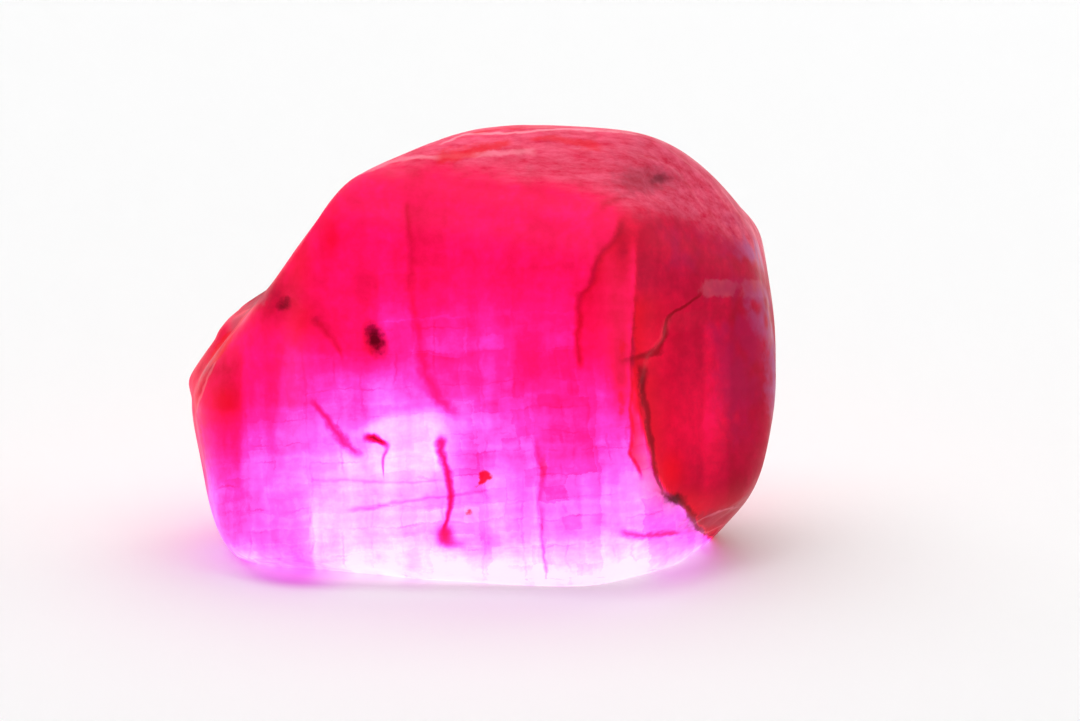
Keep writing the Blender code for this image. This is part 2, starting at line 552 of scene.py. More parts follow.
@dataclass(frozen=True)
class Crack:
    """A thin line on the broad side.

    Attributes:
        name: Its name, also that of its attribute on the mesh.
        kind: What it looks like.
        trace: Where it runs.
        width: Half its width at its first point, mm.
        end: Half its width at its last point, mm.
        strength: How strong its colour is, from 0 to 1, or the share of light that a veil holds back.
    """

    name: str
    kind: CrackKind
    trace: Trace
    width: float
    end: float
    strength: float

    def beside(self, places: np.ndarray) -> np.ndarray:
        """How many of the crack's half widths each place lies to its right or above it."""
        width = self.width + (self.end - self.width) * self.trace.share(places)
        return self.trace.beside(places) / width


RIFT_LINE = Trace((
    (-6.4, 7.9), (-6.2, 7.4), (-5.8, 7.02), (-5.35, 6.83), (-5.05, 6.4), (-4.75, 5.95), (-4.4, 5.78),
    (-3.75, 5.64), (-3.0, 5.55), (-2.0, 5.43), (-1.4, 5.27), (-0.8, 5.3), (-0.6, 5.25),
))
STRIP_LINE = Trace((
    (-4.2, 5.25), (-3.5, 4.85), (-2.8, 4.92), (-1.9, 4.86), (-1.0, 4.92), (-0.37, 4.95), (1.0, 4.98),
    (1.7, 5.02),
))
RIDGE_VEIL = Trace((
    (-0.6, 3.15), (0.4, 3.12), (1.05, 3.2), (1.75, 3.28), (2.1, 3.6), (2.5, 3.68), (2.95, 3.8),
    (3.3, 4.15), (3.6, 4.42), (4.0, 4.56), (4.2, 4.56),
))
MIDDLE_VEIL = Trace((
    (-2.2, -1.0), (-1.95, -1.15), (-1.6, -1.58), (-0.8, -1.92), (0.3, -2.1), (1.0, -2.22), (1.9, -2.4),
    (3.4, -2.35), (4.8, -2.55),
))
MIDDLE_RED = Trace(((-6.0, -1.25), (-4.9, -1.05), (-4.1, -1.18), (-3.4, -1.4), (-2.95, -1.36)))
LEFT_VEIL = Trace(((-3.55, -4.1), (-3.1, -4.55), (-2.5, -5.05), (-1.8, -5.6)))
LEFT_RIDGE = Trace((
    (-5.2, -9.2), (-4.3, -9.35), (-3.5, -9.5), (-2.9, -9.68), (-2.25, -9.74), (-1.7, -9.52),
    (-0.95, -9.2), (-0.4, -8.92), (0.3, -8.52), (0.7, -8.2), (1.0, -8.02), (1.5, -7.6), (2.2, -7.0),
))
COLUMN_LINE = Trace((
    (-7.7, 2.1), (-6.7, 2.07), (-5.85, 1.94), (-4.8, 1.9), (-4.15, 2.04), (-3.6, 1.87), (-3.1, 1.77),
))
CROWN_CREASE = Trace(((3.9, 4.7), (4.6, 4.95), (5.3, 5.27), (5.7, 5.44), (7.3, 5.44)), Run.ALONG)

# The cracks, inner veils, and worn lines drawn pale as painted highlights, of the broad side and of the
# crown above it.
CRACKS = (
    # The rift's dark lines, low, high and its arm, are painted shade in the open gap.
    Crack("rift_low", CrackKind.OPEN, Trace(RIFT_LINE.points[:6]), 0.04, 0.12, 0.85),
    Crack("rift", CrackKind.OPEN, Trace(RIFT_LINE.points[5:]), 0.05, 0.13, 0.8),
    Crack("rift_arm", CrackKind.OPEN, Trace((
        (-0.45, 4.95), (-0.36, 5.15), (-0.25, 5.5), (0.05, 5.8), (0.34, 6.0), (0.85, 6.12), (1.05, 6.2),
        (1.4, 6.7), (1.8, 7.2),
    )), 0.12, 0.03, 0.75),
    Crack("strip_line", CrackKind.VEIL, STRIP_LINE, 0.05, 0.04, 0.45),
    Crack("ridge_veil", CrackKind.VEIL, RIDGE_VEIL, 0.08, 0.10, 0.50),
    Crack("middle_veil", CrackKind.VEIL, MIDDLE_VEIL, 0.16, 0.07, 0.26),
    Crack("middle_red", CrackKind.VEIL, MIDDLE_RED, 0.05, 0.13, 0.55),
    Crack("left_veil", CrackKind.VEIL, LEFT_VEIL, 0.15, 0.06, 0.36),
    Crack("left_veil_upper", CrackKind.VEIL, Trace(((-0.3, -4.7), (0.3, -4.95), (0.95, -5.5))),
          0.05, 0.14, 0.32),
    Crack("column_line", CrackKind.VEIL, COLUMN_LINE, 0.04, 0.08, 0.18),
    Crack("left_ridge", CrackKind.CREASE, LEFT_RIDGE, 0.035, 0.035, 0.3),
    Crack("crown_crease", CrackKind.VEIL, CROWN_CREASE, 0.10, 0.05, 0.35),
    # A painted highlight along the crown's edge.
    Crack("crown_line", CrackKind.CREASE, Trace((
        (-1.4, 6.75), (-0.6, 7.15), (0.8, 7.2), (1.7, 7.25), (3.3, 7.35), (4.7, 7.3), (5.1, 7.2),
    ), Run.ALONG), 0.03, 0.05, 0.75),
    Crack("ledge_line", CrackKind.CREASE, Trace((
        (-4.2, 5.75), (-2.75, 6.3), (-1.25, 6.4), (1.7, 6.55),
    ), Run.ALONG), 0.05, 0.10, 0.45),
    Crack("crown_red_left", CrackKind.STREAK, Trace(((-1.5, 6.3), (-0.8, 6.45), (0.9, 6.85)), Run.ALONG),
          0.22, 0.08, 0.75),
    Crack("crown_red_right", CrackKind.STREAK, Trace(((1.6, 6.95), (2.4, 6.98), (3.9, 6.7)), Run.ALONG),
          0.06, 0.16, 0.65),
    Crack("crown_red_top", CrackKind.STREAK, Trace(((-0.3, 7.2), (0.6, 7.42), (2.4, 7.5)), Run.ALONG),
          0.08, 0.10, 0.65),
    Crack("knob_cap", CrackKind.SCUFF, Trace((
        (-8.6, 0.65), (-8.2, 1.2), (-7.7, 1.6), (-7.2, 1.8),
    ), Run.ALONG), 0.15, 0.22, 0.6),
    Crack("low_hair", CrackKind.VEIL, Trace((
        (-4.4, -5.35), (-2.8, -5.1), (-1.1, -4.9), (0.1, -4.7),
    ), Run.ALONG), 0.06, 0.04, 0.13),
    Crack("left_hair", CrackKind.VEIL, Trace(((-5.8, -4.35), (-3.0, -4.45), (-1.4, -4.4)), Run.ALONG),
          0.05, 0.03, 0.08),
    Crack("right_hair", CrackKind.VEIL, Trace(((4.6, -6.1), (5.4, -6.25), (6.5, -6.15)), Run.ALONG),
          0.12, 0.06, 0.35),
    Crack("foot_scratch", CrackKind.CREASE, Trace(((7.1, -5.85), (7.9, -5.45), (8.6, -5.35)), Run.ALONG),
          0.03, 0.03, 0.5),
    Crack("foot_scratch_low", CrackKind.CREASE, Trace((
        (7.3, -6.2), (8.2, -5.95), (8.9, -5.3),
    ), Run.ALONG), 0.02, 0.04, 0.4),
    Crack("comma", CrackKind.VEIL, Trace(((-3.85, -2.95), (-3.55, -2.98), (-3.2, -3.25)), Run.ALONG),
          0.10, 0.07, 0.90),
    Crack("comma_tail", CrackKind.VEIL, Trace(((-4.2, -3.25), (-3.8, -3.3), (-3.3, -3.2))),
          0.02, 0.05, 0.35),
)

# Steps in the light at inner planes.
STEPS = (
    Flank(RIDGE_VEIL, -0.06, 1.4),
    Flank(MIDDLE_VEIL, -0.02, 1.2),
    Flank(COLUMN_LINE, -0.09, 1.0),
    Flank(LEFT_RIDGE, -0.13, -1.5),
    Flank(Trace(((-7.6, -5.65), (-5.0, -5.7))), 0.12, 1.5),
    Flank(Trace(((-4.3, -8.1), (-2.0, -8.05), (-0.2, -8.0))), -0.10, -1.6),
    Flank(Trace(((-3.2, -6.95), (-2.2, -6.84), (0.2, -6.55))), -0.07, -1.2),
    Flank(Trace(((-1.6, 1.0), (0.0, 1.05))), -0.06, 1.2),
    Flank(Trace(((-3.0, 0.3), (-1.2, 0.25))), -0.06, 0.8, 0.3),
    Flank(Trace(((-6.0, 3.3), (-4.6, 3.25))), 0.06, 1.0),
    Flank(Trace(((0.6, -3.5), (1.6, -3.4), (2.6, -3.45))), 0.08, 1.0),
    Flank(Trace(((-1.1, -3.4), (1.8, -3.4)), Run.ALONG), -0.07, -0.8, 0.35),
    Flank(Trace(((-9.0, -2.1), (-6.9, -2.0), (-4.6, -1.9)), Run.ALONG), 0.05, -1.5, 0.35),
    Flank(Trace(((-6.6, -0.25), (-1.8, -0.15)), Run.ALONG), 0.08, -1.6, 0.35),
    Flank(Trace(((-4.6, -2.9), (-3.0, -2.2), (-1.2, -2.0)), Run.ALONG), 0.12, -1.5, 0.4),
    Flank(Trace(((1.0, -1.0), (4.8, -1.3)), Run.ALONG), 0.05, -1.0, 0.3),
)

# Where the painted glow turns pure red beside an inner plane or under a chip.
FLUSHES = (
    Flank(STRIP_LINE, 0.95, 0.9, 0.10),
    Flank(RIFT_LINE, 0.85, 0.8, 0.10),
    Flank(RIDGE_VEIL, 0.45, 0.9, 0.2),
    Flank(MIDDLE_VEIL, 0.12, 0.5, 0.1),
    Flank(LEFT_RIDGE, 0.30, -0.6, 0.1),
    Glow(6.15, -4.1, 0.65, 0.95, 0.95),
    Glow(5.9, -2.4, 0.40, 1.10, 0.50),
    Glow(-8.6, -1.8, 0.55, 0.50, 0.75),
    Glow(-5.0, 3.6, 0.35, 0.90, 0.70),
    Glow(-6.1, 2.8, 0.45, 1.00, 0.50),
    Glow(-6.0, 0.9, 0.45, 0.80, 0.50),
)


class StainKind(Enum):
    """What a stain is."""

    DARK = "dark"  # a dark mineral grain or dirt in a pit
    SMUDGE = "smudge"  # a greyish brown patch: painted shade on the crown's right and a painted reflection on the foot's chamfer
    RED = "red"  # a patch of deeper red
    PALE = "pale"  # a scuffed, greyish pink patch
    LILAC = "lilac"  # a painted sheen: lilac light mirrored by the worn skin at the right edge
    WINE = "wine"  # a patch that leans to purple


WRAPPED = (StainKind.LILAC, StainKind.WINE)  # the soft kinds, which go on round the side


@dataclass(frozen=True)
class Stain:
    """A small patch of another colour.

    Attributes:
        kind: What it is.
        across, up: Its middle on the broad side, mm.
        wide, tall: Half its width and height, mm.
        strength: How strong it is, from 0 to 1.
        slant: How far it leans to the right for each mm up.
        blunt: How square it is: 2 is an ellipse, and more is nearer to a rectangle.
    """

    kind: StainKind
    across: float
    up: float
    wide: float
    tall: float
    strength: float
    slant: float = 0.0
    blunt: float = 2.0

    def depth(self, places: np.ndarray) -> np.ndarray:
        """How deep in the stain each place is.

        Args:
            places: Places across, up and out, mm, one a row.

        Returns:
            How far inside the stain's edge it lies, mm, and minus outside it.
        """
        y = (places[:, 1] - self.up) / self.tall
        x = (places[:, 0] - self.across - self.slant * self.tall * y) / self.wide
        away = (np.abs(x) ** self.blunt + np.abs(y) ** self.blunt) ** (1.0 / self.blunt)
        return (1.0 - away) * min(self.wide, self.tall)


STAINS = (
    Stain(StainKind.DARK, -3.55, 0.30, 0.30, 0.55, 0.90, -0.25),
    Stain(StainKind.DARK, -6.6, 1.45, 0.24, 0.28, 0.75, 0.4),
    Stain(StainKind.DARK, -5.55, 0.95, 0.14, 0.18, 0.30),
    Stain(StainKind.DARK, 5.85, 5.65, 0.36, 0.20, 0.55, 0.4),
    # Painted shade: the crown's right, round the pit, is darker.
    Stain(StainKind.SMUDGE, 5.35, 5.6, 1.2, 0.50, 0.50, 0.4),
    Stain(StainKind.DARK, 6.35, -5.0, 0.42, 0.22, 0.90, -0.6),
    Stain(StainKind.DARK, 5.27, -1.1, 0.12, 0.55, 0.45),
    Stain(StainKind.DARK, 4.99, 0.6, 0.07, 0.70, 0.45),
    Stain(StainKind.DARK, 4.5, 3.75, 0.10, 0.30, 0.35, 0.3),
    Stain(StainKind.RED, 0.08, -4.22, 0.22, 0.17, 0.95, -0.3),
    Stain(StainKind.RED, -0.05, -4.45, 0.13, 0.22, 0.95, 0.9),
    Stain(StainKind.RED, -3.55, 0.28, 0.42, 0.72, 0.30, -0.25),
    Stain(StainKind.WINE, 8.5, 0.8, 1.1, 4.2, 0.50),
    Stain(StainKind.WINE, 6.7, 3.3, 0.90, 0.80, 0.45, 0.0, 4.0),
    # A painted reflection: the brownish light on the chamfer at the foot's right.
    Stain(StainKind.SMUDGE, 7.7, -5.75, 1.10, 0.40, 0.55, 1.2),
    Stain(StainKind.RED, -0.42, -5.4, 0.16, 0.12, 0.80),
    Stain(StainKind.RED, 2.0, -4.0, 0.14, 0.45, 0.45),
    Stain(StainKind.RED, -8.85, 0.0, 0.28, 0.60, 0.80, 0.6),
    Stain(StainKind.RED, -9.6, -3.4, 0.22, 1.40, 0.80, -0.1),
    Stain(StainKind.RED, 4.6, 0.0, 0.13, 0.40, 0.60),
    Stain(StainKind.RED, 4.6, -1.8, 0.13, 0.45, 0.60),
    Stain(StainKind.PALE, 7.9, 2.0, 0.62, 0.30, 0.42, 0.0, 6.0),
    Stain(StainKind.PALE, 9.15, 2.0, 0.55, 0.32, 0.42, 0.0, 6.0),
    Stain(StainKind.PALE, 7.9, -5.9, 0.80, 0.10, 0.20, 1.2),
    # A painted sheen of lilac light along the right edge.
    Stain(StainKind.LILAC, 9.2, 3.2, 0.70, 0.7, 0.60, -0.25),
    Stain(StainKind.LILAC, 9.5, 1.2, 0.70, 1.0, 0.55, -0.25),
    Stain(StainKind.LILAC, 9.95, -0.8, 0.45, 2.2, 0.55),
)


@dataclass(frozen=True)
class FrostedSkin:
    """The frosted skin over the crown, above the clear broad side: paler and greyer, partly by the
    frosting and partly as a painted sheen of the light from above.

    Attributes:
        edge: Its lower edge as (across, up), mm.
        fade: How far it takes to set in, mm.
        rim: The wave length and the reach of its edge's wandering, mm.
    """

    edge: Line = (
        (-9.0, 5.0), (-4.8, 6.0), (-2.0, 6.0), (1.4, 5.75), (4.0, 5.0), (5.5, 4.45), (7.2, 4.3),
        (8.2, 3.7), (9.5, 2.8),
    )
    fade: float = 0.9
    rim: tuple[float, float] = (1.8, 0.35)

    def cover(self, places: np.ndarray) -> np.ndarray:
        """How frosted each place is.

        Args:
            places: Places across, up and out, mm, one a row.

        Returns:
            0 on the clear broad side and 1 on the crown.
        """
        edge_across, edge_up = np.array(self.edge).T
        above = places[:, 1] - np.interp(places[:, 0], edge_across, edge_up)
        return smooth(above / self.fade + 0.5)


@dataclass(frozen=True)
class PaintedLightField:
    """How much painted light comes through the stone at each place: 0 is crimson, 1 is nearly white.

    The level falls with the height up the broad side. Patches, steps at inner planes and the
    dark slab to the right of the ridge then change it.

    Attributes:
        heights: The height up the broad side, mm, and the level there.
        patches: What changes the level left of the ridge.
        ridge: The edge between the bright part and the dark slab as (up, across), mm.
        slab_level: The level on the slab.
        slab_patches: What changes the level on the slab.
        ridge_soft, crown_soft: How wide the change at the ridge is, and on the crown, mm.
        back_share: How much of the front's level the back has.
        back_lumps: The wave length, mm, the swing and the seed of the back's uneven light.
    """

    heights: Line = (
        (-7.4, 0.95), (-6.2, 0.84), (-5.0, 0.79), (-3.9, 0.74), (-3.1, 0.67), (-1.1, 0.51), (0.9, 0.40),
        (3.0, 0.32), (5.0, 0.30), (8.0, 0.27),
    )
    patches: tuple[Glow, ...] = (
        Glow(-3.2, -3.7, 2.2, 1.7, 0.18),
        Glow(-3.0, -6.2, 3.0, 1.4, 0.06),
        Glow(0.5, -7.5, 5.5, 0.9, 0.10),
        Glow(-2.6, -1.7, 2.6, 1.6, 0.16),
        Glow(-0.8, 0.4, 2.2, 1.0, 0.10),
        Glow(-2.9, 1.0, 0.9, 1.2, 0.07),
        Glow(-6.6, 1.5, 1.3, 1.3, -0.12),
        Glow(4.6, -5.8, 2.6, 1.1, -0.11),
        Glow(-8.7, -5.8, 1.0, 1.2, -0.07),
        Glow(-9.2, -2.5, 1.6, 4.0, -0.16),
        Glow(4.2, 0.5, 1.0, 3.5, -0.08),
        Glow(-0.5, -2.2, 0.5, 0.8, 0.10),
        Glow(3.9, -3.2, 1.6, 1.4, -0.09),
        Glow(-7.4, -6.2, 1.2, 1.6, -0.08),
        Glow(5.2, 6.3, 3.2, 1.4, -0.12),
        Glow(-4.1, -3.0, 0.7, 0.40, -0.10),
        Glow(-3.6, 0.1, 0.5, 0.8, -0.14),
        Glow(4.65, 3.4, 0.25, 0.9, -0.13),
        Glow(-5.2, 0.5, 0.9, 0.9, -0.10),
        Glow(4.6, -0.8, 0.35, 1.6, -0.20),
        Glow(-5.9, -7.2, 1.2, 0.6, -0.20),
        Glow(-3.5, -0.1, 0.6, 0.6, -0.12),
        Glow(-4.1, -2.1, 0.7, 0.5, -0.08),
        Glow(-1.5, -3.3, 0.6, 0.8, 0.12),
        Glow(-5.2, -4.2, 1.0, 0.8, 0.08),
        Glow(-8.4, -1.8, 0.9, 1.2, -0.08),
        Glow(1.6, -0.2, 0.6, 1.2, -0.08),
        Glow(0.2, -6.6, 1.1, 0.5, -0.12),
        Glow(-1.25, -6.2, 0.24, 0.30, -0.55),
        Glow(-0.95, -6.5, 0.40, 0.16, -0.25),
        Glow(7.2, -6.2, 0.8, 0.5, -0.16),
        Glow(-7.6, 2.0, 0.8, 0.8, -0.14),
        Glow(-3.5, 2.0, 0.7, 0.7, -0.10),
        Glow(-4.6, -0.1, 0.6, 0.6, -0.08),
    )
    ridge: Line = (
        (-6.9, 8.3), (-6.4, 7.65), (-5.5, 6.9), (-4.95, 6.4), (-4.65, 6.05), (-4.1, 5.7), (-3.1, 5.45),
        (-2.1, 5.15), (-1.2, 4.97), (-0.4, 4.95), (1.6, 5.0), (4.0, 5.1), (6.0, 5.3),
    )
    slab_level: float = 0.11
    slab_patches: tuple[Glow | Flank, ...] = (
        Glow(6.7, -2.5, 1.1, 1.9, 0.09),
        Glow(7.9, -1.9, 1.0, 1.2, 0.04),
        Flank(Trace(((-5.0, 7.3), (0.8, 7.4))), 0.07, 0.9, 0.3),
        Flank(Trace(((-5.5, 8.15), (2.0, 8.3))), -0.06, 1.5, 0.3),
        Glow(5.6, 0.1, 0.5, 0.5, 0.08),
        Glow(9.6, 0.0, 1.4, 6.0, -0.03),
        Glow(8.4, -5.2, 1.2, 1.0, -0.08),
    )
    ridge_soft: float = 0.14
    crown_soft: float = 2.0
    back_share: float = 0.8
    back_lumps: tuple[tuple[float, float, int], ...] = ((5.0, 0.12, 31), (2.2, 0.06, 33))

    def front(self, places: np.ndarray) -> np.ndarray:
        """The light on the broad side.

        Args:
            places: Places across, up and out, mm, one a row.

        Returns:
            The level.
        """
        heights, levels = np.array(self.heights).T
        level = np.interp(places[:, 1], heights, levels)
        for change in self.patches + STEPS:
            level += change.light(places)
        slab = np.full(len(places), self.slab_level)
        for patch in self.slab_patches:
            slab += patch.light(places)
        soft = self.ridge_soft + self.crown_soft * smooth((places[:, 1] - 3.2) / 1.6)
        over = smooth(Trace(self.ridge).beside(broken(places)) / soft + 0.5)
        return level + over * (slab - level)

    def back(self, places: np.ndarray) -> np.ndarray:
        """The light on the sides and the back, where the stone is seen across its depth.

        Args:
            places: Places across, up and out, mm, one a row.

        Returns:
            The level.
        """
        heights, levels = np.array(self.heights).T
        level = self.back_share * np.interp(places[:, 1] - 0.5, heights, levels)
        for length, swing, seed in self.back_lumps:
            level += swing * waves(places, length, seed)
        return level

    def level(self, places: np.ndarray) -> np.ndarray:
        """The light all round: the front's, turning into the back's round the sides.

        Args:
            places: Places across, up and out, mm, one a row.

        Returns:
            The level.
        """
        back = self.back(places)
        return back + smooth((places[:, 2] + 6.0) / 3.5) * (self.front(places) - back)


@dataclass
class RubyStone:
    """The whole stone as one mesh with its marks.

    Attributes:
        form: The stone's shape.
        light: The painted light that comes through it.
        skin: The frosted skin on its crown.
        flush_rim: The wave length and the reach of the wandering of the flushes' rims, mm.
        cuts: How many squares each side of the ball of squares has along its edge.
    """

    form: StoneForm = field(default_factory=StoneForm)
    light: PaintedLightField = field(default_factory=PaintedLightField)
    skin: FrostedSkin = field(default_factory=FrostedSkin)
    flush_rim: tuple[float, float] = (1.1, 0.12)
    cuts: int = 128

    def build(self, material: bpy.types.Material) -> bpy.types.Object:
        """Makes the mesh, marks it and gives it its finish.

        Args:
            material: The stone's finish.

        Returns:
            The stone, in its place.
        """
        directions, squares = cube_sphere(self.cuts)
        places = self.form.places(directions)
        low, high = (np.array(corner) for corner in CAD_BOX)
        vertices = np.clip((places + HEART) * MM, low, high)
        mesh = bpy.data.meshes.new("ruby_crystal_surface")
        mesh.from_pydata(vertices, [], squares)
        mesh.shade_smooth()
        self.mark(mesh, to_broad_side(places), directions)
        mesh.materials.append(material)
        stone = bpy.data.objects.new("ruby_crystal_surface", mesh)
        bpy.context.scene.collection.objects.link(stone)
        log.info("stone: %d squares", len(squares))
        return stone

    def mark(self, mesh: bpy.types.Mesh, places: np.ndarray, directions: np.ndarray) -> None:
        """Writes the mesh's attributes: the light, the skin, the wear, the stains and the cracks.

        Args:
            mesh: The stone's mesh.
            places: Its vertices across, up and out, mm.
            directions: Its vertices' directions from the heart.
        """
        normals = np.empty(places.size)
        mesh.vertex_normals.foreach_get("vector", normals)
        facing = to_broad_side(normals.reshape(-1, 3))[:, 2]
        # The sharp marks are on the broad side alone, and the soft ones go on round its edge.
        seen = smooth(facing / 0.3 - 0.1) * smooth((places[:, 2] + 1.5) / 1.5)
        wrapped = smooth(facing / 0.4 + 0.6) * smooth((places[:, 2] + 1.2) / 2.0)
        wrapped *= smooth(0.6 + 1.6 * waves(places, 1.3, 29) + 0.8 * waves(places, 0.6, 35))
        write(mesh, "level", self.light.level(places))
        write(mesh, "frost", self.skin.cover(wander(places, *self.skin.rim)))
        write(mesh, "wear", self.form.wear(directions))
        flushed = wander(places, *self.flush_rim)
        flushes = [flush.light(flushed) for flush in FLUSHES]
        write(mesh, "flush", seen * np.max(flushes, axis=0))
        for kind in StainKind:
            stains = [stain for stain in STAINS if stain.kind is kind]
            depths = np.array([stain.depth(places) for stain in stains])
            strengths = np.array([stain.strength for stain in stains])
            write(mesh, kind.value, depths.max(axis=0))
            reach = wrapped if kind in WRAPPED else seen
            write(mesh, kind.value + "_strength", reach * strengths[depths.argmax(axis=0)])
        bent = broken(places)
        for crack in CRACKS:
            write(mesh, crack.name, crack.beside(bent))
            write(mesh, crack.name + "_strength", crack.strength * seen * crack.trace.span(places))


def write(mesh: bpy.types.Mesh, name: str, values: np.ndarray) -> None:
    """Stores one number a vertex on the mesh."""
    mesh.attributes.new(name, "FLOAT", "POINT").data.foreach_set("value", values.astype(np.float32))


def linear(colour: str) -> tuple[float, float, float, float]:
    """Turns a colour such as "#fa0f64" into linear light.

    Args:
        colour: Red, green and blue as two hex digits each, after a #.

    Returns:
        Red, green, blue and alpha.
    """
    parts = [int(colour[k:k + 2], 16) / 255.0 for k in (1, 3, 5)]
    light = [c / 12.92 if c <= 0.04045 else ((c + 0.055) / 1.055) ** 2.4 for c in parts]
    return (*light, 1.0)


class Painter:
    """Adds nodes to one material."""

    def __init__(self, material: bpy.types.Material) -> None:
        """Takes over the material's node tree.

        Args:
            material: A material that uses nodes.
        """
        self.tree = material.node_tree

    def add(
        self,
        kind: str,
        inputs: dict[int | str, object] | None = None,
        output: int | str = 0,
        **settings: object,
    ) -> bpy.types.NodeSocket:
        """Adds one node.

        Args:
            kind: The node's type name, without ShaderNode.
            inputs: Input name or number to a value or to the socket that feeds it.
            output: The name or number of the output to hand back.
            **settings: The node's own settings.

        Returns:
            The output.
        """
        node = self.tree.nodes.new("ShaderNode" + kind)
        for name, value in settings.items():
            setattr(node, name, value)
        for name, value in (inputs or {}).items():
            if isinstance(value, bpy.types.NodeSocket):
                self.tree.links.new(value, node.inputs[name])
            else:
                node.inputs[name].default_value = value
        return node.outputs[output]


@dataclass(frozen=True)
class RoughRuby:
    """Rough ruby: clear corundum, deep pinkish red, with a water-worn and frosted skin.

    To the eye it is a satin stone that light shines through: the more light comes through,
    the paler and the more lilac it is. That light is painted, as the colour and as a painted glow
    given off by emission.

    Attributes:
        colours: The level of light and the colour there.
        inks: The colour of each kind of crack that shows on the skin.
        stains: The colour of each kind of stain, and how far its edge takes to set in, mm.
        flush: The painted glow's pure red beside some inner planes.
        sheen: The colour that the satin skin gives to what it mirrors.
        frost_low, frost_high: The colours of the frosted skin with its painted sheen, in its darker and
            its paler mottles.
        worn: The colour of the worn edges, lighter by wear and by a painted highlight.
        deep: The colour that the stone's depth lets through.
        density: How fast the depth takes the rest of the light away, per m.
        ior: How strongly it bends light: ruby's is 1.76 to 1.77.
        mirror: The specular level, low because a satin skin lit from inside mirrors little.
        clear: The share of light that passes straight through, low because of the inner planes.
        skin_share: How much of the light on it the skin throws back.
        glow_levels, glow_strengths: Two levels of painted light, and the painted glow's emission at each.
        satin: The least and the greatest roughness.
        cloud, speck, streak: The size of the soft patches, small patches and tall streaks, mm.
        cloud_swing, speck_swing, streak_swing: How far each swings the level of light.
        row, column: The height and width of the blocks between the parting planes, mm.
        bend, lean: How far noise bends the parting planes, mm, and how far they lean, degrees.
        band_swing: How far soft bands along the planes swing the level.
        block_sets: For each set of blocks its size as a share of row and column, and how far
            its bands and its blocks swing the level.
        seam, seam_shade: Half a seam's width as a share of a block, and what it adds to the level.
        rag: The size of the raggedness of the cracks and stains, mm.
        rag_reach: How far it moves a crack's sides, in half widths of the crack.
        veil_rim, crack_rim: Where a veil's and another crack's look ends, in half widths.
        frost: How well the frosted skin covers what is under it.
        wear: How well the worn edges' colour covers what is under it.
        mottle: The size of the mottling of the frosted skin, mm.
        lump, grain: The size of the shallow lumps and of the frosting's grain, mm. Real
            frosting is finer, about 0.02 mm: it is drawn as coarse as it needs to show.
        grain_share: How high the grain is beside the lumps.
        relief, relief_height: The strength of the fine relief and its height, mm.
        patch: The size of the duller and glossier patches, mm.
    """

    colours: tuple[tuple[float, str], ...] = (
        (0.00, "#a00528"), (0.10, "#be0637"), (0.20, "#e60a41"), (0.30, "#fc0f58"), (0.40, "#fd1476"),
        (0.50, "#fc239c"), (0.60, "#fc3ccb"), (0.70, "#fb62f2"), (0.80, "#fb8cfb"), (0.90, "#fdbefd"),
        (1.00, "#fee8fd"),
    )
    # The open cracks' dark red is painted shade in their gaps.
    inks: tuple[tuple[CrackKind, str], ...] = (
        # The creases' pale pink is a painted highlight along worn lines.
        (CrackKind.OPEN, "#82000f"), (CrackKind.CREASE, "#ff96aa"), (CrackKind.STREAK, "#e61423"),
        (CrackKind.SCUFF, "#cd6478"),
    )
    stains: tuple[tuple[StainKind, str, float], ...] = (
        (StainKind.RED, "#f50523", 0.10), (StainKind.PALE, "#c85f73", 0.12),
        # The lilac is a painted sheen of light on the right edge.
        (StainKind.LILAC, "#a56eaa", 0.6), (StainKind.WINE, "#aa1450", 0.8),
        # The greyish brown is painted shade on the crown and a painted reflection on the chamfer.
        (StainKind.SMUDGE, "#873241", 0.5), (StainKind.DARK, "#320008", 0.28),
    )
    flush: str = "#f50523"
    frost_low: str = "#cd143c"
    frost_high: str = "#f0698a"
    worn: str = "#ff8ca5"
    sheen: str = "#ff8296"
    deep: str = "#ff1e50"
    density: float = 5000.0
    ior: float = 1.77
    mirror: float = 0.04
    clear: float = 0.06
    skin_share: float = 0.4
    glow_levels: tuple[float, float] = (0.05, 0.45)
    glow_strengths: tuple[float, float] = (0.58, 0.88)
    satin: tuple[float, float] = (0.32, 0.52)
    cloud: float = 2.2
    speck: float = 0.42
    streak: float = 0.9
    cloud_swing: float = 0.14
    speck_swing: float = 0.17
    streak_swing: float = 0.13
    row: float = 0.85
    column: float = 1.2
    bend: float = 0.9
    lean: float = -3.0
    band_swing: float = 0.16
    block_sets: tuple[tuple[float, float, float], ...] = ((1.5, 0.06, 0.08), (0.6, 0.02, 0.05))
    seam: float = 0.06
    seam_shade: float = -0.06
    rag: float = 0.25
    rag_reach: float = 2.0
    veil_rim: float = 2.4
    crack_rim: float = 1.7
    frost: float = 0.75
    wear: float = 0.03
    mottle: float = 0.35
    lump: float = 0.6
    grain: float = 0.07
    grain_share: float = 0.15
    relief: float = 0.35
    relief_height: float = 0.05
    patch: float = 1.2

    def material(self) -> bpy.types.Material:
        """Makes the finish.

        Returns:
            The material.
        """
        # Water-worn corundum gives the eye a satin skin that glows from inside, not a mirror. That glow
        # is painted: the colour is given off by emission.
        material = bpy.data.materials.new("rough_ruby")
        material.use_nodes = True
        paint = Painter(material)
        shader = material.node_tree.nodes["Principled BSDF"]
        place = self.place(paint)
        ragged = paint.add("TexNoise", {"Vector": place, "Scale": 1.0 / self.rag, "Detail": 3.0})
        level = self.level(paint, place, ragged)
        colour = self.colour(paint, place, level, ragged)
        links = material.node_tree.links
        skin = {"Fac": 1.0, "Color1": colour, "Color2": (*(self.skin_share,) * 3, 1.0)}
        links.new(paint.add("MixRGB", skin, blend_type="MULTIPLY"), shader.inputs["Base Color"])
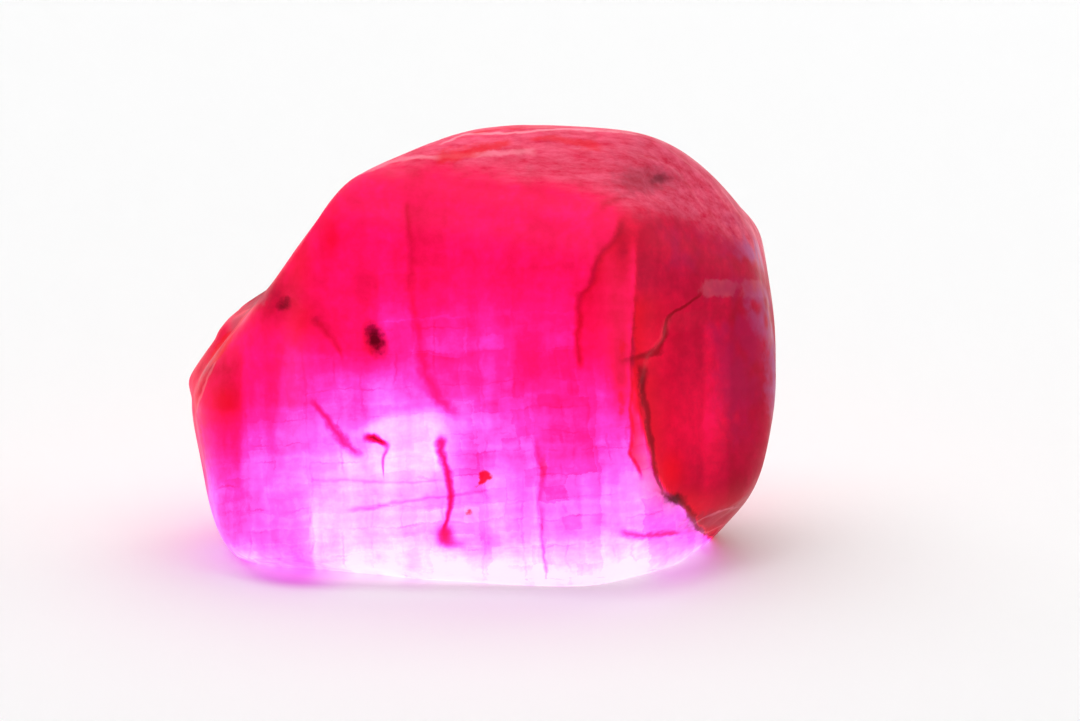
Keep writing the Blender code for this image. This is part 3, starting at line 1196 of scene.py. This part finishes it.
        # The painted glow: the colour is given off as emission, with no lamp behind it.
        links.new(colour, shader.inputs["Emission Color"])
        links.new(self.glow(paint, level), shader.inputs["Emission Strength"])
        links.new(self.roughness(paint, place), shader.inputs["Roughness"])
        links.new(self.fine_relief(paint, place), shader.inputs["Normal"])
        shader.inputs["IOR"].default_value = self.ior
        shader.inputs["Metallic"].default_value = 0.0
        shader.inputs["Specular IOR Level"].default_value = self.mirror
        shader.inputs["Specular Tint"].default_value = linear(self.sheen)
        shader.inputs["Transmission Weight"].default_value = self.clear
        absorb = paint.add("VolumeAbsorption", {"Color": linear(self.deep), "Density": self.density})
        links.new(absorb, material.node_tree.nodes["Material Output"].inputs["Volume"])
        return material

    def place(self, paint: Painter) -> bpy.types.NodeSocket:
        """Where each point of the skin is, worked out from the object's own coordinates.

        Args:
            paint: Adds the nodes.

        Returns:
            Across, up and out, mm.
        """
        heart = to_broad_side(HEART[None])[0]
        inputs = {
            "Vector": paint.add("TexCoord", output="Object"),
            "Location": Vector(-heart),
            "Rotation": (LEAN - math.pi / 2.0, 0.0, 0.0),
            "Scale": (1.0 / MM,) * 3,
        }
        return paint.add("Mapping", inputs, vector_type="POINT")

    def swing(
        self, paint: Painter, level: bpy.types.NodeSocket, pattern: bpy.types.NodeSocket, amount: float
    ) -> bpy.types.NodeSocket:
        """Lets a pattern from 0 to 1 swing a level about its middle.

        Args:
            paint: Adds the nodes.
            level: The level so far.
            pattern: The pattern.
            amount: How far the level swings from the pattern's 0 to its 1.

        Returns:
            The new level.
        """
        middle = paint.add("Math", {0: pattern, 1: 0.5}, operation="SUBTRACT")
        return paint.add("Math", {0: middle, 1: amount, 2: level}, operation="MULTIPLY_ADD")

    def level(
        self, paint: Painter, place: bpy.types.NodeSocket, ragged: bpy.types.NodeSocket
    ) -> bpy.types.NodeSocket:
        """The mesh's level of light, with clouds, tall streaks, the parting planes' blocks and the veils.

        Args:
            paint: Adds the nodes.
            place: Across, up and out, mm.
            ragged: The raggedness, from 0 to 1.

        Returns:
            The level.
        """
        base = paint.add("Attribute", output="Fac", attribute_name="level")
        clouds = paint.add("TexNoise", {"Vector": place, "Scale": 1.0 / self.cloud, "Detail": 4.0})
        specks = {"Vector": place, "Scale": 1.0 / self.speck, "Detail": 5.0, "Roughness": 0.6}
        specks = paint.add("TexNoise", specks)
        tall = paint.add("Mapping", {"Vector": place, "Scale": (1.0, 0.12, 0.5)}, vector_type="POINT")
        streaks = paint.add("TexNoise", {"Vector": tall, "Scale": 1.0 / self.streak, "Detail": 3.0})
        level = self.swing(paint, base, clouds, self.cloud_swing)
        level = self.swing(paint, level, specks, self.speck_swing)
        level = self.swing(paint, level, streaks, self.streak_swing)
        # The blocks show where the light is bright, and hardly in the red.
        gain = {"Value": base, "From Min": 0.3, "From Max": 0.6, "To Min": 0.12, "To Max": 1.0}
        share = paint.add("MapRange", gain, interpolation_type="SMOOTHSTEP")
        blocks = {0: self.blocks(paint, place), 1: share, 2: level}
        level = paint.add("Math", blocks, operation="MULTIPLY_ADD")
        for crack in CRACKS:
            if crack.kind is CrackKind.VEIL:
                line = self.line(paint, ragged, crack, self.veil_rim)
                kept = paint.add("Math", {0: 1.0, 1: line}, operation="SUBTRACT")
                level = paint.add("Math", {0: level, 1: kept}, operation="MULTIPLY")
        return level

    def line(
        self, paint: Painter, ragged: bpy.types.NodeSocket, crack: Crack, rim: float
    ) -> bpy.types.NodeSocket:
        """How much a crack shows: 0 away from it and its strength on it, with ragged sides.

        Args:
            paint: Adds the nodes.
            ragged: The raggedness, from 0 to 1.
            crack: The crack.
            rim: Where its look ends, in half widths.

        Returns:
            The share.
        """
        away = paint.add("Attribute", output="Fac", attribute_name=crack.name)
        away = self.swing(paint, away, ragged, self.rag_reach)
        away = paint.add("Math", {0: away}, operation="ABSOLUTE")
        strength = paint.add("Attribute", output="Fac", attribute_name=crack.name + "_strength")
        line = {"Value": away, "From Min": 2.0 - rim, "From Max": rim, "To Min": strength, "To Max": 0.0}
        return paint.add("MapRange", line, interpolation_type="SMOOTHSTEP")

    def steps(self, paint: Painter, along: bpy.types.NodeSocket, width: float) -> bpy.types.NodeSocket:
        """Steps of uneven width along a direction, each with its own shade from 0 to 1.

        Args:
            paint: Adds the nodes.
            along: The distance along the direction, mm.
            width: The mean width of a step, mm.

        Returns:
            The shade.
        """
        cells = {"W": along, "Scale": 1.0 / width}
        cells = paint.add("TexVoronoi", cells, "Color", voronoi_dimensions="1D")
        return paint.add("SeparateColor", {0: cells})

    def seams(self, paint: Painter, along: bpy.types.NodeSocket, width: float) -> bpy.types.NodeSocket:
        """The thin seams between the steps.

        Args:
            paint: Adds the nodes.
            along: The distance along the direction, mm.
            width: The mean width of a step, mm.

        Returns:
            1 on a seam and 0 away from it.
        """
        settings = {"voronoi_dimensions": "1D", "feature": "DISTANCE_TO_EDGE"}
        away = paint.add("TexVoronoi", {"W": along, "Scale": 1.0 / width}, "Distance", **settings)
        seam = {"Value": away, "From Min": 0.0, "From Max": self.seam, "To Min": 1.0, "To Max": 0.0}
        return paint.add("MapRange", seam, interpolation_type="SMOOTHSTEP")

    def blocks(self, paint: Painter, place: bpy.types.NodeSocket) -> bpy.types.NodeSocket:
        """The blocks between the parting planes: a coarse and a fine set, with broken seams.

        Across and up are first bent by noise, so that no plane is straight. Soft bands follow the
        planes. Each set adds steps up, steps across, and steps across that start anew in each row.

        Args:
            paint: Adds the nodes.
            place: Across, up and out, mm.

        Returns:
            What the blocks add to the level.
        """
        bend = {"Vector": place, "Scale": 1.0 / self.cloud, "Detail": 8.0, "Roughness": 0.72}
        bend = paint.add("TexNoise", bend, "Color")
        bend = paint.add("VectorMath", {0: bend, 1: (0.5, 0.5, 0.5)}, operation="SUBTRACT")
        bend = paint.add("VectorMath", {0: bend, "Scale": self.bend}, operation="SCALE")
        bent = paint.add("VectorMath", {0: place, 1: bend}, operation="ADD")
        bent = paint.add("Mapping", {"Vector": bent, "Rotation": (0.0, 0.0, math.radians(self.lean))})
        across = paint.add("SeparateXYZ", {0: bent}, "X")
        up = paint.add("SeparateXYZ", {0: bent}, "Y")
        total = paint.add("Value")
        for along, width in ((up, self.row), (across, self.column)):
            soft = {"W": along, "Scale": 1.2 / width, "Detail": 3.0}
            soft = paint.add("TexNoise", soft, noise_dimensions="1D")
            total = self.swing(paint, total, soft, self.band_swing)
        for scale, bands, blocks in self.block_sets:
            rows = self.steps(paint, up, self.row * scale)
            total = self.swing(paint, total, rows, bands)
            total = self.swing(paint, total, self.steps(paint, across, self.column * scale), bands)
            moved = {0: rows, 1: 3.0 * self.column, 2: across}
            moved = paint.add("Math", moved, operation="MULTIPLY_ADD")
            total = self.swing(paint, total, self.steps(paint, moved, self.column * scale), blocks)
        parts = paint.add("TexNoise", {"Vector": place, "Scale": 1.0 / self.row, "Detail": 2.0})
        parts = {"Value": parts, "From Min": 0.45, "From Max": 0.65, "To Max": self.seam_shade}
        parts = paint.add("MapRange", parts)
        for along, width in ((up, self.row), (across, self.column)):
            seams = {0: self.seams(paint, along, width), 1: parts, 2: total}
            total = paint.add("Math", seams, operation="MULTIPLY_ADD")
        return total

    def colour(
        self,
        paint: Painter,
        place: bpy.types.NodeSocket,
        level: bpy.types.NodeSocket,
        ragged: bpy.types.NodeSocket,
    ) -> bpy.types.NodeSocket:
        """The colour by the level, with the frosted skin, the cracks, stains and worn edges over it.

        Args:
            paint: Adds the nodes.
            place: Across, up and out, mm.
            level: The level of light.
            ragged: The raggedness, from 0 to 1.

        Returns:
            The colour.
        """
        colour = paint.add("ValToRGB", {"Fac": level})
        stops = colour.node.color_ramp.elements
        while len(stops) < len(self.colours):
            stops.new(1.0)
        for stop, (position, shade) in zip(stops, self.colours):
            stop.position = position
            stop.color = linear(shade)
        flush = paint.add("Attribute", output="Fac", attribute_name="flush")
        colour = paint.add("MixRGB", {"Fac": flush, "Color1": colour, "Color2": linear(self.flush)})
        # The crown's frosted skin is paler, partly as a painted sheen of the light from above.
        colour = self.frosted(paint, place, colour)
        for crack in CRACKS:
            ink = dict(self.inks).get(crack.kind)
            if ink:
                line = self.line(paint, ragged, crack, self.crack_rim)
                colour = paint.add("MixRGB", {"Fac": line, "Color1": colour, "Color2": linear(ink)})
        for kind, ink, fade in self.stains:
            depth = paint.add("Attribute", output="Fac", attribute_name=kind.value)
            depth = self.swing(paint, depth, ragged, 0.2 + 0.6 * fade)
            strength = paint.add("Attribute", output="Fac", attribute_name=kind.value + "_strength")
            cover = {"Value": depth, "From Min": -0.3 * fade, "From Max": 0.7 * fade, "To Max": strength}
            cover = paint.add("MapRange", cover, interpolation_type="SMOOTHSTEP")
            colour = paint.add("MixRGB", {"Fac": cover, "Color1": colour, "Color2": linear(ink)})
        # The edges between faces are lighter: partly wear, partly a painted highlight.
        wear = paint.add("Attribute", output="Fac", attribute_name="wear")
        wear = paint.add("Math", {0: wear, 1: self.wear}, operation="MULTIPLY")
        return paint.add("MixRGB", {"Fac": wear, "Color1": colour, "Color2": linear(self.worn)})

    def frosted(
        self, paint: Painter, place: bpy.types.NodeSocket, colour: bpy.types.NodeSocket
    ) -> bpy.types.NodeSocket:
        """Lays the frosted skin, with its painted sheen, over a colour: noise, drawn out across, between
        two shades.

        Args:
            paint: Adds the nodes.
            place: Across, up and out, mm.
            colour: The colour under the skin.

        Returns:
            The colour with the skin.
        """
        drawn = {"Vector": place, "Rotation": (0.0, 0.0, 0.1), "Scale": (0.35, 1.0, 1.0)}
        mottles = {"Vector": paint.add("Mapping", drawn), "Scale": 1.0 / self.mottle, "Roughness": 0.7}
        mottles = paint.add("TexNoise", mottles | {"Detail": 6.0})
        mottles = paint.add("MapRange", {"Value": mottles, "From Min": 0.32, "From Max": 0.68})
        shades = {"Fac": mottles, "Color1": linear(self.frost_low), "Color2": linear(self.frost_high)}
        skin = paint.add("MixRGB", shades)
        cover = paint.add("Attribute", output="Fac", attribute_name="frost")
        cover = paint.add("Math", {0: cover, 1: self.frost}, operation="MULTIPLY")
        return paint.add("MixRGB", {"Fac": cover, "Color1": colour, "Color2": skin})

    def glow(self, paint: Painter, level: bpy.types.NodeSocket) -> bpy.types.NodeSocket:
        """How strongly the stone's painted glow shines: more, the more painted light comes through.

        Args:
            paint: Adds the nodes.
            level: The level of light.

        Returns:
            The emission strength.
        """
        dim, bright = self.glow_levels
        weak, strong = self.glow_strengths
        glow = {"Value": level, "From Min": dim, "From Max": bright, "To Min": weak, "To Max": strong}
        return paint.add("MapRange", glow, interpolation_type="SMOOTHSTEP")

    def roughness(self, paint: Painter, place: bpy.types.NodeSocket) -> bpy.types.NodeSocket:
        """Satin, with duller and glossier patches.

        Args:
            paint: Adds the nodes.
            place: Across, up and out, mm.

        Returns:
            The roughness.
        """
        patches = paint.add("TexNoise", {"Vector": place, "Scale": 1.0 / self.patch, "Detail": 4.0})
        least, most = self.satin
        satin = {"Value": patches, "From Min": 0.3, "From Max": 0.7, "To Min": least, "To Max": most}
        return paint.add("MapRange", satin, interpolation_type="SMOOTHSTEP")

    def fine_relief(self, paint: Painter, place: bpy.types.NodeSocket) -> bpy.types.NodeSocket:
        """The fine relief: frosting and shallow lumps.

        Args:
            paint: Adds the nodes.
            place: Across, up and out, mm.

        Returns:
            The bent normal.
        """
        fine = {"Vector": place, "Roughness": 0.6}
        lumps = paint.add("TexNoise", fine | {"Scale": 1.0 / self.lump, "Detail": 5.0})
        frost = paint.add("TexNoise", fine | {"Scale": 1.0 / self.grain, "Detail": 3.0})
        height = paint.add("Math", {0: frost, 1: self.grain_share, 2: lumps}, operation="MULTIPLY_ADD")
        bump = {"Height": height, "Strength": self.relief, "Distance": self.relief_height * MM}
        return paint.add("Bump", bump)


@dataclass(frozen=True)
class FloorPaper:
    """Matt white paper: to the eye it is an even pale ground that mirrors nothing.

    Attributes:
        colour: Its colour.
        rough: Its roughness.
    """

    colour: str = "#fafafa"
    rough: float = 0.9

    def material(self) -> bpy.types.Material:
        """Makes the finish.

        Returns:
            The material.
        """
        material = bpy.data.materials.new("floor_paper")
        material.use_nodes = True
        shader = material.node_tree.nodes["Principled BSDF"]
        shader.inputs["Base Color"].default_value = linear(self.colour)
        shader.inputs["Roughness"].default_value = self.rough
        return material


@dataclass(frozen=True)
class Lamp:
    """A square soft lamp.

    Attributes:
        name: Its name.
        place: Where it hangs, m.
        size: The length of its sides, m.
        power: Its power, W.
    """

    name: str
    place: tuple[float, float, float]
    size: float
    power: float

    def build(self, target: Vector) -> None:
        """Hangs the lamp.

        Args:
            target: The place that it points at, m.
        """
        light = bpy.data.lights.new(self.name, "AREA")
        light.size = self.size
        light.energy = self.power
        lamp = bpy.data.objects.new(self.name, light)
        lamp.location = self.place
        lamp.rotation_euler = (target - Vector(self.place)).to_track_quat("-Z", "Y").to_euler()
        bpy.context.scene.collection.objects.link(lamp)


@dataclass
class Studio:
    """The floor, the lights and the camera.

    Attributes:
        paper: The floor's finish.
        half_width: Half the floor's width, m.
        front, back: Where the flat part of the floor begins and ends, m.
        bend: The radius of the curve in which it turns upwards, m.
        top: How high it reaches, m.
        lamps: The lamps.
        aim: The place that the lamps point at, m.
        world: The strength of the white light from all round.
        elevation: How far the camera looks down, degrees.
        lens, sensor: Its focal length and the width of its sensor, mm.
        distance: How far it is from the place that it looks at, m.
        shift_right, shift_down: How far that place lies from the stone's heart, mm.
    """

    paper: FloorPaper = field(default_factory=FloorPaper)
    half_width: float = 1.2
    front: float = -0.9
    back: float = 0.35
    bend: float = 0.25
    top: float = 0.9
    lamps: tuple[Lamp, ...] = (
        Lamp("top_lamp", (0.0, 0.25, 0.75), 1.6, 14.4),
        Lamp("right_lamp", (0.55, 0.05, 0.25), 0.3, 0.4),
    )
    aim: tuple[float, float, float] = (0.0, 0.0, 0.007)
    world: float = 0.06
    elevation: float = 14.5
    lens: float = 200.0
    sensor: float = 36.0
    distance: float = 0.204
    shift_right: float = 1.9
    shift_down: float = 0.42

    def floor(self) -> bpy.types.Object:
        """A pale sheet that lies under the stone and rises far behind it.

        One number runs across the sheet, and the other along it: flat, then a quarter circle,
        then straight up.

        Returns:
            The floor.
        """
        quarter = np.linspace(0.0, math.pi / 2.0, 25)
        curve = self.back + self.bend * np.sin(quarter)
        along = np.concatenate([[self.front], curve, [self.back + self.bend]])
        height = np.concatenate([[0.0], self.bend - self.bend * np.cos(quarter), [self.top]])
        sides = np.linspace(-self.half_width, self.half_width, 3)
        x, y = np.meshgrid(sides, along, indexing="ij")
        z = np.broadcast_to(height, x.shape)
        vertices = np.stack([x, y, z], axis=-1).reshape(-1, 3)
        count = len(along)
        start = (np.arange(2)[:, None] * count + np.arange(count - 1)).ravel()
        squares = np.stack([start, start + count, start + count + 1, start + 1], axis=1)
        mesh = bpy.data.meshes.new("floor")
        mesh.from_pydata(vertices, [], squares)
        mesh.shade_smooth()
        mesh.materials.append(self.paper.material())
        floor = bpy.data.objects.new("floor", mesh)
        bpy.context.scene.collection.objects.link(floor)
        return floor

    def build(self) -> None:
        """Sets up the floor, the world, the lamps and the camera."""
        self.floor()
        scene = bpy.context.scene
        world = bpy.data.worlds.new("studio")
        world.use_nodes = True
        world.node_tree.nodes["Background"].inputs["Color"].default_value = linear("#ffffff")
        world.node_tree.nodes["Background"].inputs["Strength"].default_value = self.world
        scene.world = world
        for lamp in self.lamps:
            lamp.build(Vector(self.aim))
        self.camera()
        scene.view_settings.view_transform = "Standard"
        log.info("studio: a floor, %d lamps and a camera", len(self.lamps))

    def camera(self) -> None:
        """Places the camera in front of the broad side, looking a little down."""
        tilt = math.radians(self.elevation)
        right = Vector((1.0, 0.0, 0.0))
        up = Vector((0.0, math.sin(tilt), math.cos(tilt)))
        towards = Vector((0.0, -math.cos(tilt), math.sin(tilt)))
        aim = Vector(HEART * MM) + right * self.shift_right * MM - up * self.shift_down * MM
        data = bpy.data.cameras.new("camera")
        data.lens = self.lens
        data.sensor_width = self.sensor
        data.clip_start = 0.01
        data.clip_end = 10.0
        camera = bpy.data.objects.new("camera", data)
        camera.location = aim + towards * self.distance
        camera.rotation_euler = towards.to_track_quat("Z", "Y").to_euler()
        bpy.context.scene.collection.objects.link(camera)
        bpy.context.scene.camera = camera


def main() -> None:
    """Builds the stone and the studio."""
    logging.basicConfig(level=logging.INFO, format="%(name)s: %(message)s")
    stone = RubyStone().build(RoughRuby().material())
    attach(stone, "root")
    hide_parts("ruby_crystal")
    Studio().build()


if __name__ == "__main__":
    main()
